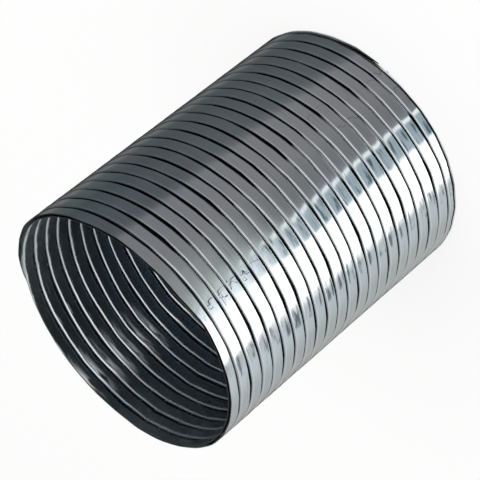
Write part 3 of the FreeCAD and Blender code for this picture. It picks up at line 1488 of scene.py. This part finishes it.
    def _paint_cloth(self, tree: Tree) -> None:
        """Paint the cloth in stripes that stray a little from turn to turn, with a dark line at the foot.

        Args:
            tree: The empty node tree of the cloth's paint.
        """
        angle, height, turn = self._paint_place(tree)
        whole_turn = add_node(tree, "ShaderNodeMath", {0: turn}, operation="FLOOR")
        chance = add_node(tree, "ShaderNodeTexWhiteNoise", {"W": whole_turn.outputs[0]},
                          noise_dimensions="1D")
        aside = add_node(tree, "ShaderNodeMapRange",
                         {"Value": chance.outputs["Value"], "To Min": -self.ragged_degrees,
                          "To Max": self.ragged_degrees})
        ragged = add_node(tree, "ShaderNodeMath", {0: angle, 1: aside.outputs[0]}).outputs[0]
        far, near = (
            self._ramp(tree, ragged, self.cloth_angles,
                       [(stop.angle, stop.colour, stop.gain) for stop in stops])
            for stops in (self.far_cloth, self.near_cloth)
        )
        nearness = add_node(tree, "ShaderNodeMapRange",
                            {"Value": height, "From Min": self.far_turns, "From Max": self.near_turns})
        turns = add_node(tree, "ShaderNodeMix",
                         {"Factor": nearness.outputs[0], UNDER_COLOUR: far, OVER_COLOUR: near},
                         data_type="RGBA")
        shade = add_node(tree, "ShaderNodeMapRange",
                         {"Value": angle, "From Min": self.foot_sides[0], "From Max": self.foot_sides[1],
                          "To Min": self.foot_shade[0], "To Max": self.foot_shade[1]})
        foot = add_node(tree, "ShaderNodeMath", {0: height, 1: shade.outputs[0]}, operation="LESS_THAN")
        self._glow(tree, add_overlay(tree, turns.outputs[MIXED_COLOUR], self.foot_colour, foot.outputs[0]))

    def _dark_cloth(self) -> None:
        """Lay a dark cloth, a painted reflection, beyond the painted one, or the bends there would show the
        floor.
        """
        angles = range(self.cloth_angles[0], self.dark_until + 1, self.cloth_angle_step)
        points = [self._bounce(angle, height) for angle in angles for height in self.dark_heights]
        cloth = self._sheet("dark_cloth", points, self._grid_faces(len(angles), len(self.dark_heights)))
        self._glow(self._only_reflected(cloth), linear(self.dark_colour))

    def _dome(self) -> None:
        """Hang the painted dome all round, which the bends and the insides of the grooves show."""
        first, last = self.dome_azimuths
        lowest, highest = self.dome_elevations
        azimuths = range(first, last + 1, self.dome_azimuth_step)
        elevations = range(lowest, highest + 1, self.dome_elevation_step)
        points = []
        paint_places = []
        for azimuth in azimuths:
            for elevation in elevations:
                level = direction(math.radians(azimuth)) * math.cos(math.radians(elevation))
                points.append((level + Vector((0, 0, math.sin(math.radians(elevation))))) * self.dome_radius)
                paint_places.append((azimuth, elevation, 0.0))
        faces = self._grid_faces(len(azimuths), len(elevations))
        self._paint_dome(self._only_reflected(self._sheet("painted_dome", points, faces, paint_places)))

    def _paint_dome(self, tree: Tree) -> None:
        """Paint the dome's low, high and top colours, each with its own stops round the hose.

        Args:
            tree: The empty node tree of the dome's paint.
        """
        azimuth, elevation, _ = self._paint_place(tree)
        low, high, top = (
            self._ramp(tree, azimuth, self.dome_azimuths,
                       [(stop.azimuth, colour, 1.0) for stop, colour in zip(self.sky, colours)])
            for colours in zip(*((stop.low, stop.high, stop.top) for stop in self.sky))
        )
        height = add_node(tree, "ShaderNodeMapRange",
                          {"Value": elevation, "From Min": self.low_sky, "From Max": self.high_sky})
        sides = add_node(tree, "ShaderNodeMix",
                         {"Factor": height.outputs[0], UNDER_COLOUR: low, OVER_COLOUR: high},
                         data_type="RGBA")
        above = add_node(tree, "ShaderNodeMapRange",
                         {"Value": elevation, "From Min": self.high_sky, "From Max": self.top_sky})
        sky = add_node(tree, "ShaderNodeMix",
                       {"Factor": above.outputs[0], UNDER_COLOUR: sides.outputs[MIXED_COLOUR],
                        OVER_COLOUR: top}, data_type="RGBA")
        self._glow(tree, sky.outputs[MIXED_COLOUR])

    def _grid_faces(self, rows: int, columns: int) -> list[tuple[int, int, int, int]]:
        """Give the faces of a sheet whose points run row by row.

        Args:
            rows: How many rows of points there are.
            columns: How many points are in each.

        Returns:
            The faces, each by the numbers of its four points.
        """
        return [(row * columns + column, row * columns + column + 1,
                 (row + 1) * columns + column + 1, (row + 1) * columns + column)
                for row in range(rows - 1) for column in range(columns - 1)]

    def _under_mouth(self) -> None:
        """Lay a dark disc, seen only in the steel, inside the standing hose: a painted reflection of shade,
        so that its bore looks deep.
        """
        points = [direction(FULL_TURN * side / self.disc_sides) * self.disc_radius
                  + Vector((0, 0, self.cloth_height)) for side in range(self.disc_sides)]
        disc = self._sheet("dark_disc", points, [tuple(range(self.disc_sides))])
        self._glow(self._only_reflected(disc), linear(self.disc_colour))


def main() -> None:
    """Build the hose, then the studio round it."""
    logging.basicConfig(level=logging.INFO, format="%(name)s: %(message)s")
    winding = WoundStrip()
    strip = winding.build()
    log.info("%s: %d faces", strip.name, len(strip.data.polygons))
    camera = PhotoCamera()
    camera.build()
    Studio(camera, winding).build()


if __name__ == "__main__":
    main()
